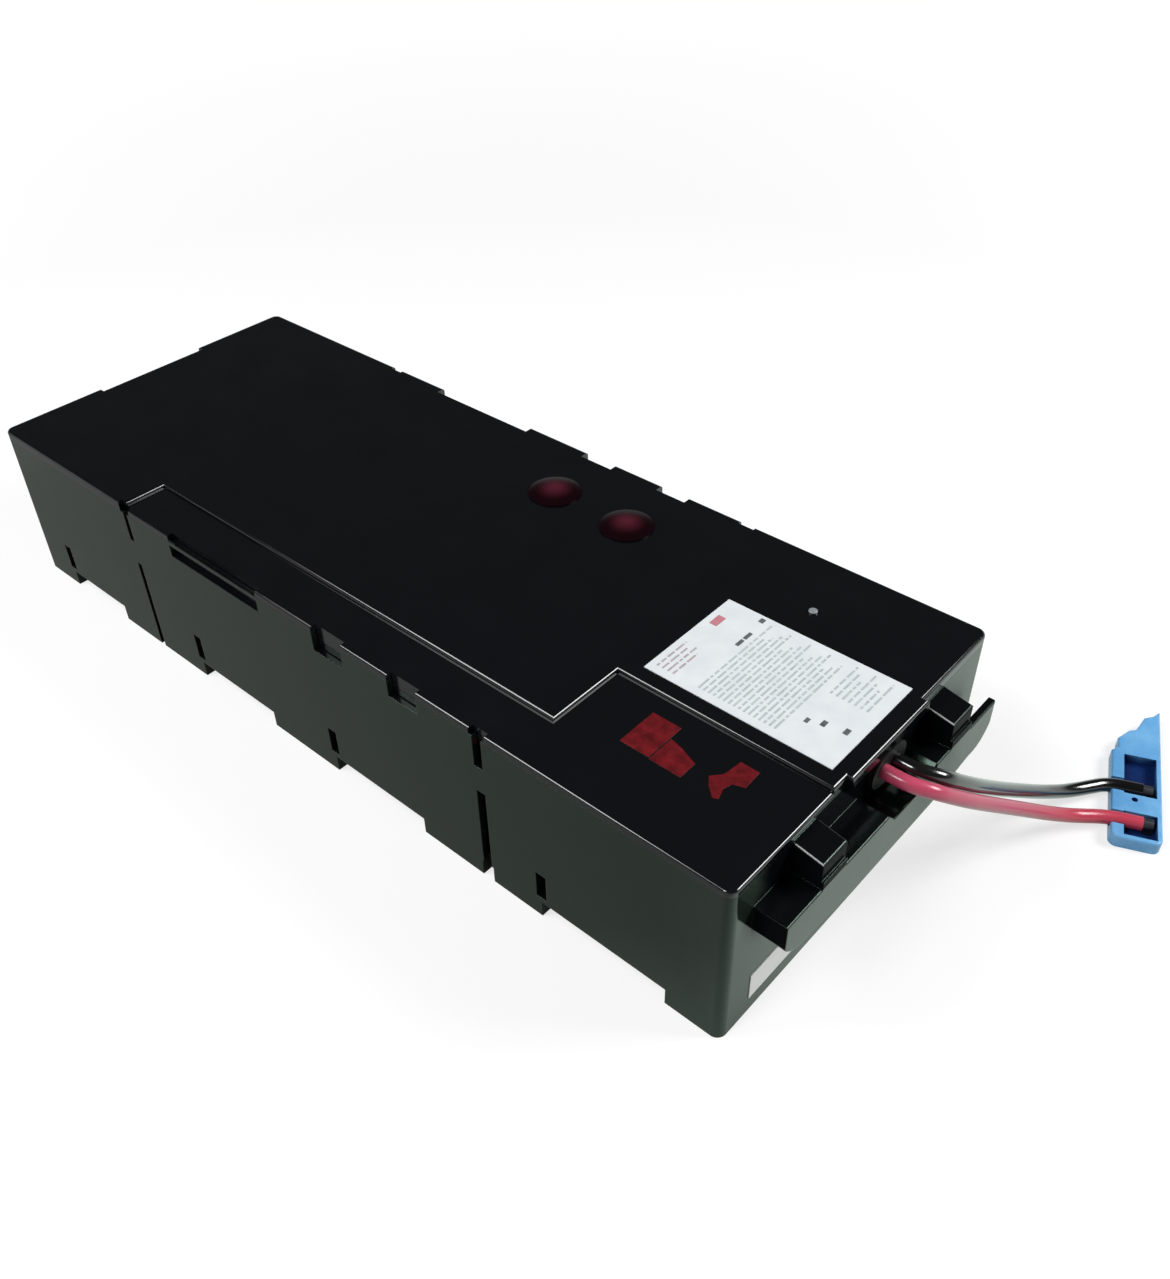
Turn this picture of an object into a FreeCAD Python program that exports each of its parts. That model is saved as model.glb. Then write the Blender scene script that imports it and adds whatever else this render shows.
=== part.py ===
# Battery cartridge for an uninterruptible power supply.
# A black moulded tray and cover hold four sealed 12 V blocks in series, and two leads
# come out of one end to a blue two-pole plug that lies on the table.
# Millimetres, +Z up. +X points to the cable end and -Y to the side with the wiring channel.
# The origin is the centre of the footprint, pull bar included, on the plane of the feet.
import FreeCAD
import Part
import math
import os

from FreeCAD import Vector

# Sealed blocks, lying on their sides with the terminals along X
battery_depth = 94.0
battery_width = 151.0
battery_thickness = 65.0
battery_edge = 2.5
battery_lid = 7.0
lid_groove = 0.6
lid_groove_width = 1.2

# Blade tabs, and the receptacles pushed on them
tab_width = 6.35
tab_thickness = 0.8
tab_length = 6.0
tab_root = 2.0
tab_inset = 9.5
tab_drop = 7.5
sleeve_length = 8.0
sleeve_width = 9.0
sleeve_thickness = 7.0
sleeve_standoff = 0.5
sleeve_edge = 1.2
slot_clearance = 0.15

# Room round the blocks
terminal_gap = 21.0
pair_gap = 0.5
lead_bay = 16.75
channel_width = 9.75
block_clearance = 0.5
pad_thickness = 4.0
pad_length = 60.0
pad_width = 58.0

# Moulded case
wall = 2.5
floor_thickness = 2.5
foot_height = 8.0
foot_width = 5.0
corner_radius = 4.0
fit_gap = 0.25
cut_margin = 1.0
same_place = 0.01

# Cover
cover_plate = 2.5
seam_drop = 5.0
top_round = 1.6
lip_thickness = 1.5
lip_depth = 4.0
recess_depth = 2.0
recess_round = 1.3
recess_strip = 22.0
recess_bay = 58.0
recess_bay_start = 17.75
hood_width = 52.0
hood_overhang = 2.5
end_notch_width = 61.0
end_notch_depth = 4.0
end_notch_drop = 2.5
pip_radius = 2.0
pip_height = 0.5
pip_along = 54.75
pip_from_far = 29.25

# Snap latch and open rim notches: start and length along the case from the named block, depth
# below the top
latch_long_start = 18.25
latch_long_length = 62.0
latch_long_drop = 13.0
notch_mid_start = 21.75
notch_mid_length = 18.0
notch_mid_drop = 14.0
notch_end_start = 66.75
notch_end_length = 16.0
notch_end_drop = 12.5
latch_strip = 2.0
hook_thickness = 1.7
hook_reach = 2.0
barb_reach = 1.6
barb_height = 2.6
barb_clearance = 0.4
latch_bevel = 2.0

# Slots in the long walls beside the terminal gaps
slot_one_from_gap = 5.25
slot_one_width = 3.0
slot_one_notch = 7.0
slot_two_from_gap = 20.75
slot_two_width = 4.5
slot_two_notch = 8.0
slot_upper_drop = 20.0
slot_bridge = 13.0

# Feet, as reaches to each side of what they stand under
foot_at_closed_end = 28.0
foot_before_slot_one = 31.0
foot_after_slot_one = 36.0
foot_before_middle = 21.0
foot_after_middle = 23.0
foot_before_slot_two = 37.0
foot_after_slot_two = 29.0
foot_split = 6.0
foot_at_cable_end = 24.5
foot_window_width = 5.0
foot_window_height = 13.5

# Ribs in the tray
rib_thickness = 2.0
rib_height = 20.0
rib_inset = 12.0
stop_height = 34.0
stop_spread = 80.0

# Pull bar on the cable end, with the shelf behind it and two arms that stand on the shelf
handle_reach = 13.5
handle_width = 142.0
handle_thickness = 3.0
handle_drop = 19.5
handle_end_height = 11.0
handle_middle_height = 23.0
handle_corner = 15.0
handle_corner_rise = 4.0
handle_edge = 0.8
saddle_width = 34.0
saddle_depth = 5.0
saddle_slope = 5.0
arm_width = 14.5
arm_spread = 86.5
arm_wall = 2.2
arm_top_drop = 5.5
arm_slope = 2.5
arm_gusset = 6.0
arm_ledge = 1.0
arm_ledge_rise = 3.5
arm_edge = 0.8

# Leads, and the bush they leave through
lead_diameter = 6.0
jumper_diameter = 4.5
lead_pitch = 8.0
lead_offset = 9.0
lead_side_gap = 0.5
lead_floor_gap = 0.1
bay_lead_gap = 0.75
jumper_straight = 0.2
lead_bend = 8.0
bay_corner_bend = 7.0
drop_bend = 20.0
ramp_bend = 30.0
ramp_start = 6.0
ramp_length = 60.0
black_lead_lower = 9.0
bush_wall = 2.5
bush_flange = 2.0
bush_hole_clearance = 0.1

# Red plugs
plug_head_radius = 12.0
plug_stem_radius = 9.5
plug_rim_height = 0.7
plug_dome_height = 2.3
plug_stem_length = 5.0
plug_barb = 0.5
plug_from_middle = 33.0
plug_from_gap = 19.0
plug_from_far = 30.75

# Stickers
sticker_thickness = 0.3
label_length = 83.0
label_width = 54.0
label_margin = 5.5
label_across = 8.0
end_label_length = 62.0
end_label_height = 13.0
end_label_rise = 8.0
end_label_inset = 16.5

# Routes of the two free leads, from the bush to the contacts, chosen to lie as in the photograph
red_route = [
    (217, 5, 68), (227.5, 5, 68), (235.8, 10.2, 65.6), (241.5, 24, 54.5),
    (246, 44, 38.5), (251, 62, 25), (256.5, 77, 14), (263.5, 90, 6.5),
    (274.4, 101, 4.6), (286.9, 106.2, 4.6),
]
black_route = [
    (217, 13, 68), (227, 13, 68), (234.5, 18.5, 65.5), (239, 32, 54.5),
    (242.3, 52.5, 38), (246.5, 72, 24), (251, 88, 13.5), (256.5, 102, 6.5),
    (266.9, 119, 4.6), (279.4, 124.2, 4.6),
]
arc_share = 0.45

# Two-pole plug, in its own frame: u along the leads from its rear, v across from between the poles
housing_length = 20.0
housing_near = 21.0
housing_far = 30.5
housing_height = 6.0
housing_edge = 1.0
housing_corner = 3.5
grip_edge = [(2.5, 33.0), (2.5, 39.0), (7.0, 45.0), (10.0, 46.5), (13.5, 55.5), (17.0, 57.5)]
grip_reach = 61.5
lead_entry = 12.4
trough_width = 7.6
well_start = 5.0
well_front = 2.0
well_floor = 1.5
red_well_near = 9.25
red_well_far = 4.25
black_well_near = 4.75
black_well_far = 19.0
keying_hole_radius = 1.25
keying_hole_along = 9.25
keying_hole_across = 2.0
contact_width = 5.8
contact_thickness = 1.2
contact_neck = 2.4
contact_barrel = 4.0
barrel_diameter = 5.2

# Places that follow from those sizes
lip_room = fit_gap + lip_thickness + block_clearance
case_width = 2 * wall + channel_width + battery_width + lip_room
case_length = 2 * wall + lip_room + 4 * battery_depth + 2 * terminal_gap + pair_gap + lead_bay
floor_top = foot_height + floor_thickness
battery_top = floor_top + battery_thickness
plate_underside = battery_top + pad_thickness
overall_height = plate_underside + cover_plate
seam_height = overall_height - seam_drop
recess_top = overall_height - recess_depth

closed_end = -(case_length + handle_reach) / 2
cable_end = closed_end + case_length
near_side = -case_width / 2
far_side = case_width / 2
inner_near = near_side + wall
inner_far = far_side - wall

block_near = inner_near + channel_width
block_far = block_near + battery_width
block_one = closed_end + wall + lip_room
gap_one = block_one + battery_depth
block_two = gap_one + terminal_gap
block_three = block_two + battery_depth + pair_gap
gap_two = block_three + battery_depth
block_four = gap_two + terminal_gap
bay_start = block_four + battery_depth
slot_one = gap_one + slot_one_from_gap
slot_two = gap_two + slot_two_from_gap
recess_start = slot_one
recess_turn = block_four + recess_bay_start
plug_across = block_far - plug_from_far
pip_across = block_far - pip_from_far

lead_height = battery_top - tab_drop
red_exit = lead_offset - lead_pitch / 2
black_exit = lead_offset + lead_pitch / 2
channel_line = inner_near + channel_width / 2 + lead_side_gap
handle_top = overall_height - handle_drop
bar_outer = cable_end + handle_reach
bar_inner = bar_outer - handle_thickness
bush_radius = lead_diameter / 2 + bush_wall
bush_face = cable_end + hood_overhang
wall_inside = cable_end - wall
black_bay_line = bay_start + lead_diameter / 2 + lead_side_gap
red_bay_line = black_bay_line + lead_diameter + bay_lead_gap

# A block's place: its near corner along X, and the way its terminals face
blocks = [
    (block_one, 1),
    (block_two, -1),
    (block_three, 1),
    (block_four, -1),
]
snap_latch = (block_two + latch_long_start, latch_long_length, latch_long_drop)
rim_notches = [
    (block_three + notch_mid_start, notch_mid_length, notch_mid_drop),
    (block_three + notch_end_start, notch_end_length, notch_end_drop),
]
wall_slots = [
    (slot_one, slot_one_width, slot_one_notch),
    (slot_two, slot_two_width, slot_two_notch),
]


def box(x0, x1, y0, y1, z0, z1):
    return Part.makeBox(x1 - x0, y1 - y0, z1 - z0, Vector(x0, y0, z0))


def upright_edges(solid):
    return [edge for edge in solid.Edges if edge.BoundBox.ZLength > same_place
            and edge.BoundBox.XLength < same_place and edge.BoundBox.YLength < same_place]


def rounded_box(x0, x1, y0, y1, z0, z1, radius):
    solid = box(x0, x1, y0, y1, z0, z1)
    return solid.makeFillet(radius, upright_edges(solid))


def joined(solids):
    first, *others = solids
    return first.fuse(others).removeSplitter()


def profile(points, direction):
    corners = [Vector(*point) for point in points]
    return Part.Face(Part.makePolygon(corners + corners[:1])).extrude(Vector(*direction))


def both_sides(make):
    """The same feature on the near and the far long wall; side is -1 and then 1."""
    return [make(side) for side in (-1, 1)]


def wall_band(side, x0, x1, z0, z1, depth, start=-cut_margin):
    """A box that reaches inwards from a long wall's outer face, from start to depth."""
    outer = side * (case_width / 2 - start)
    inner = side * (case_width / 2 - depth)
    return box(x0, x1, min(outer, inner), max(outer, inner), z0, z1)


def foot_spans():
    middle = block_three - pair_gap / 2
    return [
        (closed_end, closed_end + foot_at_closed_end),
        (slot_one - foot_before_slot_one, slot_one + foot_after_slot_one),
        (middle - foot_before_middle, middle + foot_after_middle),
        (slot_two - foot_before_slot_two, slot_two - foot_split / 2),
        (slot_two + foot_split / 2, slot_two + foot_after_slot_two),
        (cable_end - foot_at_cable_end, cable_end),
    ]


def foot_window_places():
    spans = foot_spans()
    return [spans[index][1] for index in (0, 1, 2, 4)]


def tray_openings(side):
    cuts = []
    spans = foot_spans()
    for before, after in zip(spans, spans[1:]):
        cuts.append(wall_band(side, before[1], after[0], 0, foot_height, foot_width))
    for place in foot_window_places():
        half = foot_window_width / 2
        cuts.append(wall_band(side, place - half, place + half,
                              floor_top, floor_top + foot_window_height, wall))
    upper_foot = overall_height - slot_upper_drop
    for place, width, _ in wall_slots:
        x0, x1 = place - width / 2, place + width / 2
        cuts.append(wall_band(side, x0, x1, upper_foot, seam_height, wall))
        cuts.append(wall_band(side, x0, x1, floor_top, upper_foot - slot_bridge, wall))
        cuts.append(wall_band(side, x0, x1, 0, floor_top, wall))
    place, length, drop = snap_latch
    cuts.append(wall_band(side, place, place + length,
                          overall_height - drop, seam_height - latch_strip, wall))
    for place, length, drop in rim_notches:
        cuts.append(wall_band(side, place, place + length, overall_height - drop, seam_height, wall))
    return cuts


def tray_ribs():
    ribs = []
    for gap in (gap_one, gap_two):
        for x0 in (gap + block_clearance, gap + terminal_gap - block_clearance - rib_thickness):
            ribs.append(box(x0, x0 + rib_thickness, block_near + rib_inset, block_far - rib_inset,
                            floor_top, floor_top + rib_height))
    middle = (block_near + block_far) / 2
    for y in (middle - stop_spread / 2, middle + stop_spread / 2):
        ribs.append(box(bay_start + block_clearance, cable_end - wall, y, y + rib_thickness,
                        floor_top, floor_top + stop_height))
    return ribs


def saddle_line():
    """Top of the bar and the shelf across the case: places across, and how far each is lowered."""
    wide = saddle_width / 2
    narrow = wide - saddle_slope
    return [
        (lead_offset - wide, 0), (lead_offset - narrow, saddle_depth),
        (lead_offset + narrow, saddle_depth), (lead_offset + wide, 0),
    ]


def pull_bar():
    """Bar with a bowed lower edge, round lower corners and a saddle that the leads pass over."""
    half = handle_width / 2
    bottom = handle_top - handle_middle_height
    corner_top = handle_top - handle_end_height
    corner_foot = bottom + handle_corner_rise
    turn = half - handle_corner

    def at(y, z):
        return Vector(bar_inner, y, z)

    slack = handle_corner * (1 - math.sqrt(0.5))
    rise = (corner_top - corner_foot) * (1 - math.sqrt(0.5))
    outline = Part.Wire([
        Part.LineSegment(at(-half, handle_top), at(half, handle_top)).toShape(),
        Part.LineSegment(at(half, handle_top), at(half, corner_top)).toShape(),
        Part.Arc(at(half, corner_top), at(half - slack, corner_foot + rise),
                 at(turn, corner_foot)).toShape(),
        Part.Arc(at(turn, corner_foot), at(0, bottom), at(-turn, corner_foot)).toShape(),
        Part.Arc(at(-turn, corner_foot), at(-half + slack, corner_foot + rise),
                 at(-half, corner_top)).toShape(),
        Part.LineSegment(at(-half, corner_top), at(-half, handle_top)).toShape(),
    ])
    bar = Part.Face(outline).extrude(Vector(handle_thickness, 0, 0))
    saddle = profile([(bar_inner, y, handle_top - drop) for y, drop in saddle_line()],
                     (handle_thickness, 0, 0))
    bar = bar.cut(saddle)
    front = [edge for edge in bar.Edges if abs(edge.BoundBox.XMin - bar_outer) < same_place]
    return bar.makeFillet(handle_edge, front)


def pull_shelf():
    """Shelf from the end wall to the bar, as far as the far arm, dipping under the leads."""
    line = [(-handle_width / 2, 0)] + saddle_line() + [(arm_spread / 2 + arm_width / 2, 0)]
    upper = [(cable_end, y, handle_top - drop) for y, drop in line]
    under = [(cable_end, y, handle_top - drop - wall) for y, drop in reversed(line)]
    return profile(upper + under, (bar_inner - cable_end, 0, 0))


def shelf_cheek():
    """End of the shelf on the near side."""
    near = -handle_width / 2
    return box(cable_end, bar_inner, near, near + wall, handle_top - handle_end_height, handle_top)


def pull_arm(side):
    """Arm that slopes from the end wall out to the bar, with a small ledge on its front."""
    top = overall_height - arm_top_drop
    front_top = top - arm_slope
    low = handle_top - handle_end_height
    ledge = handle_top + arm_ledge_rise
    y0 = side * arm_spread / 2 - arm_width / 2
    arm = profile([
        (cable_end, y0, top), (bar_outer - arm_ledge, y0, front_top),
        (bar_outer - arm_ledge, y0, ledge), (bar_outer, y0, ledge), (bar_outer, y0, low),
        (cable_end, y0, low - arm_gusset),
    ], (0, arm_width, 0))
    crown = [edge for edge in arm.Edges if edge.BoundBox.ZMin > front_top - same_place
             and edge.BoundBox.XMax > cable_end + same_place]
    return arm.makeFillet(arm_edge, crown)


def arm_pocket(side):
    """Hollow of an arm, open below through the shelf."""
    roof = overall_height - arm_top_drop - wall
    foot = handle_top - handle_end_height - arm_gusset
    y0 = side * arm_spread / 2 - arm_width / 2 + arm_wall
    return profile([
        (cable_end, y0, roof), (bar_inner, y0, roof - arm_slope), (bar_inner, y0, foot),
        (cable_end, y0, foot),
    ], (0, arm_width - 2 * arm_wall, 0))


def pull_handle():
    solids = [pull_bar(), pull_shelf(), shelf_cheek()] + both_sides(pull_arm)
    return joined(solids).cut(both_sides(arm_pocket))


def oval_block(x0, x1, pitch, radius):
    """Oval across the cable end, round the two lead exits."""
    ends = [Part.makeCylinder(radius, x1 - x0, Vector(x0, lead_offset + offset, lead_height),
                              Vector(1, 0, 0)) for offset in (-pitch / 2, pitch / 2)]
    middle = box(x0, x1, lead_offset - pitch / 2, lead_offset + pitch / 2,
                 lead_height - radius, lead_height + radius)
    return joined([middle] + ends)


def base_tray():
    shell = rounded_box(closed_end, cable_end, near_side, far_side, 0, seam_height, corner_radius)
    inside = rounded_box(closed_end + wall, cable_end - wall, inner_near, inner_far,
                         floor_top, overall_height, corner_radius - wall)
    under = box(closed_end + foot_width, cable_end - foot_width,
                near_side + foot_width, far_side - foot_width, 0, foot_height)
    cuts = [inside, under, oval_block(cable_end - wall, cable_end, lead_pitch, bush_radius)]
    for openings in both_sides(tray_openings):
        cuts += openings
    return joined([shell.cut(cuts), pull_handle()] + tray_ribs())


def recess_volumes(grow, z0, z1):
    """The lowered strip and bay along the near side, grown inwards by a wall."""
    strip = box(recess_start - grow, recess_turn + grow, near_side, near_side + recess_strip + grow,
                z0, z1)
    bay = box(recess_turn - grow, cable_end, near_side, near_side + recess_bay + grow, z0, z1)
    return strip.fuse(bay)


def on_level(solid, height):
    return [edge for edge in solid.Edges if abs(edge.BoundBox.ZMin - height) < same_place
            and abs(edge.BoundBox.ZMax - height) < same_place]


def cover_blank():
    """Outer form of the cover, with its lowered strip, end notch and hood, edges rounded."""
    blank = rounded_box(closed_end, cable_end, near_side, far_side, seam_height, overall_height,
                        corner_radius)
    hood = box(cable_end - wall, cable_end + hood_overhang, label_across - hood_width / 2,
               label_across + hood_width / 2, seam_height, overall_height)
    blank = blank.fuse(hood).cut(recess_volumes(0, recess_top, overall_height)).removeSplitter()
    blank = blank.makeFillet(top_round, on_level(blank, overall_height))
    rim = [edge for edge in on_level(blank, recess_top)
           if abs(edge.BoundBox.YMax - near_side) < same_place
           or abs(edge.BoundBox.XMin - cable_end) < same_place]
    return blank.makeFillet(recess_round, rim)


def cover_hollow():
    low = box(closed_end + wall, cable_end - wall, inner_near, inner_far,
              seam_height, recess_top - cover_plate)
    high = box(closed_end + wall, cable_end - wall, inner_near, inner_far,
               recess_top - cover_plate, plate_underside)
    return low.fuse(high.cut(recess_volumes(wall, seam_height, overall_height)))


def cover_lip():
    """Ring that drops inside the tray's walls and keeps the cover in line."""
    outer = wall + fit_gap
    inner = outer + lip_thickness
    z0 = seam_height - lip_depth
    ring = rounded_box(closed_end + outer, cable_end - outer, near_side + outer, far_side - outer,
                       z0, recess_top - cover_plate / 2, corner_radius - wall)
    hole = box(closed_end + inner, cable_end - inner, near_side + inner, far_side - inner,
               z0, recess_top - cover_plate / 2)
    return ring.cut(hole)


def cover_tongue(side, place, length, drop):
    """Tongue that hangs from the cover inside the wall, behind a window or notch in it."""
    face = wall + fit_gap
    return wall_band(side, place, place + length, overall_height - drop - hook_reach,
                     recess_top - cover_plate / 2, face + hook_thickness, face)


def snap_barb(side):
    """Barb on the long tongue, which catches under the strip over its window."""
    place, length, _ = snap_latch
    face = case_width / 2 - wall - fit_gap
    root = side * face
    tip = side * (face + barb_reach)
    top = seam_height - latch_strip - barb_clearance
    x0 = place + barb_clearance
    return profile([(x0, root, top), (x0, tip, top), (x0, root, top - barb_height)],
                   (length - 2 * barb_clearance, 0, 0))


def cover_notches(side):
    cuts = []
    edge = side * (case_width / 2 - wall - fit_gap)
    inner = edge - side * latch_bevel
    for place, length, _ in [snap_latch] + rim_notches:
        cuts.append(wall_band(side, place, place + length, seam_height, overall_height,
                              wall + fit_gap))
        cuts.append(profile([(place, edge, overall_height), (place, inner, overall_height),
                             (place, edge, overall_height - latch_bevel)], (length, 0, 0)))
    for place, _, notch in wall_slots:
        cuts.append(wall_band(side, place - notch / 2, place + notch / 2,
                              seam_height, overall_height, wall))
    return cuts


def top_cover():
    cover = cover_blank().cut(cover_hollow())
    cuts = []
    hooks = []
    for side in (-1, 1):
        cuts += cover_notches(side)
        hooks += [cover_tongue(side, *place) for place in [snap_latch] + rim_notches]
        hooks.append(snap_barb(side))
    half = end_notch_width / 2
    cuts.append(profile([
        (closed_end, -half, overall_height - end_notch_drop), (closed_end, -half, overall_height),
        (closed_end + end_notch_depth, -half, overall_height),
    ], (0, end_notch_width, 0)))
    for x in plug_places():
        cuts.append(Part.makeCylinder(plug_stem_radius + fit_gap, cover_plate,
                                      Vector(x, plug_across, plate_underside)))
    pip = Part.makeCylinder(pip_radius, pip_height + cover_plate,
                            Vector(block_four + pip_along, pip_across, plate_underside))
    return joined([cover.fuse(cover_lip()).cut(cuts), pip] + hooks)


def plug_places():
    return [block_three + plug_from_middle, gap_two - plug_from_gap]


def red_plug(x):
    """Push-in plug: a thin rim under a low dome, and a barbed stem."""
    stem_end = overall_height - plug_stem_length
    crown = overall_height + plug_rim_height + plug_dome_height
    dome_radius = (plug_head_radius ** 2 + plug_dome_height ** 2) / (2 * plug_dome_height)
    dome = Part.makeSphere(dome_radius, Vector(x, plug_across, crown - dome_radius), Vector(1, 0, 0))
    head = Part.makeCylinder(plug_head_radius, crown - overall_height,
                             Vector(x, plug_across, overall_height)).common(dome)
    stem = Part.makeCylinder(plug_stem_radius, plug_stem_length, Vector(x, plug_across, stem_end))
    barb = Part.makeCone(plug_stem_radius, plug_stem_radius + plug_barb, plate_underside - stem_end,
                         Vector(x, plug_across, stem_end))
    return joined([head, stem, barb])


def tab_rows():
    return [block_near + tab_inset, block_far - tab_inset]


def tab_box(x, facing, y, grow=0.0):
    """A blade tab, from its root in the block's lid to its tip."""
    face = x + battery_depth if facing > 0 else x
    root = face - facing * tab_root
    tip = face + facing * (tab_length + grow)
    return box(min(root, tip), max(root, tip), y - tab_width / 2 - grow, y + tab_width / 2 + grow,
               lead_height - tab_thickness / 2 - grow, lead_height + tab_thickness / 2 + grow)


def battery(x, facing):
    """Sealed block: rounded can, the groove where its lid is welded on, and slots for its tabs."""
    can = box(x, x + battery_depth, block_near, block_far, floor_top, battery_top)
    can = can.makeFillet(battery_edge, can.Edges)
    joint = x + battery_depth - battery_lid if facing > 0 else x + battery_lid
    x0, x1 = joint - lid_groove_width / 2, joint + lid_groove_width / 2
    ring = box(x0, x1, block_near, block_far, floor_top, battery_top)
    core = box(x0, x1, block_near + lid_groove, block_far - lid_groove,
               floor_top + lid_groove, battery_top - lid_groove)
    return can.cut([ring.cut(core)] + [tab_box(x, facing, y) for y in tab_rows()])


def terminal_tabs(x, facing):
    return Part.makeCompound([tab_box(x, facing, y) for y in tab_rows()])


def sleeve_middle(x, facing):
    face = x + battery_depth if facing > 0 else x
    return face + facing * (sleeve_standoff + sleeve_length / 2)


def tab_sleeves(x, facing):
    """Insulated flag receptacles, slotted for the tabs; their leads leave towards -Y."""
    middle = sleeve_middle(x, facing)
    sleeves = []
    for y in tab_rows():
        sleeve = box(middle - sleeve_length / 2, middle + sleeve_length / 2,
                     y - sleeve_width / 2, y + sleeve_width / 2,
                     lead_height - sleeve_thickness / 2, lead_height + sleeve_thickness / 2)
        along = [edge for edge in sleeve.Edges if edge.BoundBox.XLength > sleeve_length / 2]
        sleeve = sleeve.makeFillet(sleeve_edge, along)
        sleeves.append(sleeve.cut(tab_box(x, facing, y, slot_clearance)))
    return Part.makeCompound(sleeves)


def foam_pad(x):
    middle = x + battery_depth / 2
    y0 = near_side + recess_bay + wall + block_clearance
    return box(middle - pad_length / 2, middle + pad_length / 2, y0, y0 + pad_width,
               battery_top, plate_underside)


def bent_path(points, radii):
    """Straight runs through the points, joined by arcs that touch both runs."""
    corners = [Vector(*point) for point in points]
    edges = []
    start = corners[0]
    for before, corner, after, radius in zip(corners, corners[1:], corners[2:], radii):
        arriving = (corner - before).normalize()
        leaving = (after - corner).normalize()
        half_turn = arriving.getAngle(leaving) / 2
        setback = radius * math.tan(half_turn)
        towards_centre = (leaving - arriving).normalize()
        begin = corner - arriving * setback
        middle = corner + towards_centre * (radius / math.cos(half_turn) - radius)
        end = corner + leaving * setback
        edges.append(Part.LineSegment(start, begin).toShape())
        edges.append(Part.Arc(begin, middle, end).toShape())
        start = end
    edges.append(Part.LineSegment(start, corners[-1]).toShape())
    return Part.Wire(edges)


def tube(points, radii, diameter):
    path = bent_path(points, radii)
    direction = Vector(*points[1]) - Vector(*points[0])
    ring = Part.Wire(Part.makeCircle(diameter / 2, Vector(*points[0]), direction))
    return path.makePipeShell([ring], True, False)


def free_lead(name, route):
    """A free lead: each arc is as large as its two runs allow."""
    corners = [Vector(*point) for point in route]
    radii = []
    for before, corner, after in zip(corners, corners[1:], corners[2:]):
        arriving = corner - before
        leaving = after - corner
        half_turn = arriving.getAngle(leaving) / 2
        radii.append(arc_share * min(arriving.Length, leaving.Length) / math.tan(half_turn))
    solid = tube(route, radii, lead_diameter)
    length = bent_path(route, radii).Length
    section = math.pi * lead_diameter ** 2 / 4
    print(name, "length", round(length, 1), "radii", [round(radius) for radius in radii],
          "volume over section times length", round(solid.Volume / (section * length), 4))
    return solid


def short_jumper(first, second):
    """U-shaped lead between two blocks that face each other across a terminal gap."""
    x0 = sleeve_middle(*first)
    x1 = sleeve_middle(*second)
    y = tab_rows()[1] - sleeve_width / 2
    radius = (x1 - x0 - jumper_straight) / 2
    y_turn = y - radius - jumper_diameter
    return tube([(x0, y, lead_height), (x0, y_turn, lead_height), (x1, y_turn, lead_height),
                 (x1, y, lead_height)], [radius, radius], jumper_diameter)


def long_jumper():
    """Lead along the wiring channel, from the second block to the third."""
    x0 = sleeve_middle(*blocks[1])
    x1 = sleeve_middle(*blocks[2])
    y = tab_rows()[0] - sleeve_width / 2
    return tube([(x0, y, lead_height), (x0, channel_line, lead_height),
                 (x1, channel_line, lead_height), (x1, y, lead_height)],
                [lead_bend, lead_bend], jumper_diameter)


def red_lead_inner():
    x0 = sleeve_middle(*blocks[3])
    y = tab_rows()[0] - sleeve_width / 2
    return tube([(x0, y, lead_height), (x0, channel_line, lead_height),
                 (red_bay_line, channel_line, lead_height), (red_bay_line, red_exit, lead_height),
                 (bush_face, red_exit, lead_height)],
                [lead_bend, lead_bend, wall_inside - red_bay_line], lead_diameter)


def black_lead_inner():
    """From the first block down to the floor of the channel, up beside the last, and out."""
    x0 = sleeve_middle(*blocks[0])
    y = tab_rows()[0] - sleeve_width / 2
    floor_line = floor_top + lead_diameter / 2 + lead_floor_gap
    low = lead_height - black_lead_lower
    ramp_foot = block_four + ramp_start
    turn = wall_inside - black_bay_line
    rise_end = black_exit - turn - ramp_bend / 4
    return tube([(x0, y, lead_height), (x0, channel_line, lead_height),
                 (x0, channel_line, floor_line), (ramp_foot, channel_line, floor_line),
                 (ramp_foot + ramp_length, channel_line, low), (black_bay_line, channel_line, low),
                 (black_bay_line, rise_end - ramp_length / 2, low),
                 (black_bay_line, rise_end, lead_height),
                 (black_bay_line, black_exit, lead_height), (bush_face, black_exit, lead_height)],
                [lead_bend, drop_bend, ramp_bend, ramp_bend, bay_corner_bend, ramp_bend, ramp_bend,
                 turn], lead_diameter)


def cable_grommet():
    """Oval bush in the end wall, with a flange outside it."""
    body = oval_block(wall_inside, cable_end, lead_pitch, bush_radius)
    flange = oval_block(cable_end, bush_face, lead_pitch, bush_radius + bush_flange)
    holes = [Part.makeCylinder(lead_diameter / 2 + bush_hole_clearance, bush_face - wall_inside,
                               Vector(wall_inside, y, lead_height), Vector(1, 0, 0))
             for y in (red_exit, black_exit)]
    return joined([body, flange]).cut(holes)


def top_label():
    x1 = cable_end - label_margin
    return box(x1 - label_length, x1, label_across - label_width / 2, label_across + label_width / 2,
               overall_height, overall_height + sticker_thickness)


def end_label():
    y0 = near_side + end_label_inset
    return box(cable_end, cable_end + sticker_thickness, y0, y0 + end_label_length,
               end_label_rise, end_label_rise + end_label_height)


def plug_frame():
    """Turn and place of the plug, from where the two free leads end."""
    red_end = Vector(*red_route[-1])
    black_end = Vector(*black_route[-1])
    across = black_end - red_end
    yaw = math.degrees(math.atan2(-across.x, across.y))
    forward = Vector(across.y, -across.x, 0).normalize()
    rear = (red_end + black_end) * 0.5 - forward * lead_entry
    return FreeCAD.Placement(Vector(rear.x, rear.y, 0),
                             FreeCAD.Rotation(Vector(0, 0, 1), yaw))


def pole_offset():
    return (Vector(*black_route[-1]) - Vector(*red_route[-1])).Length / 2


def pole_axis():
    return red_route[-1][2]


def in_plug_frame(solid):
    solid.Placement = plug_frame().multiply(solid.Placement)
    return solid


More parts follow.
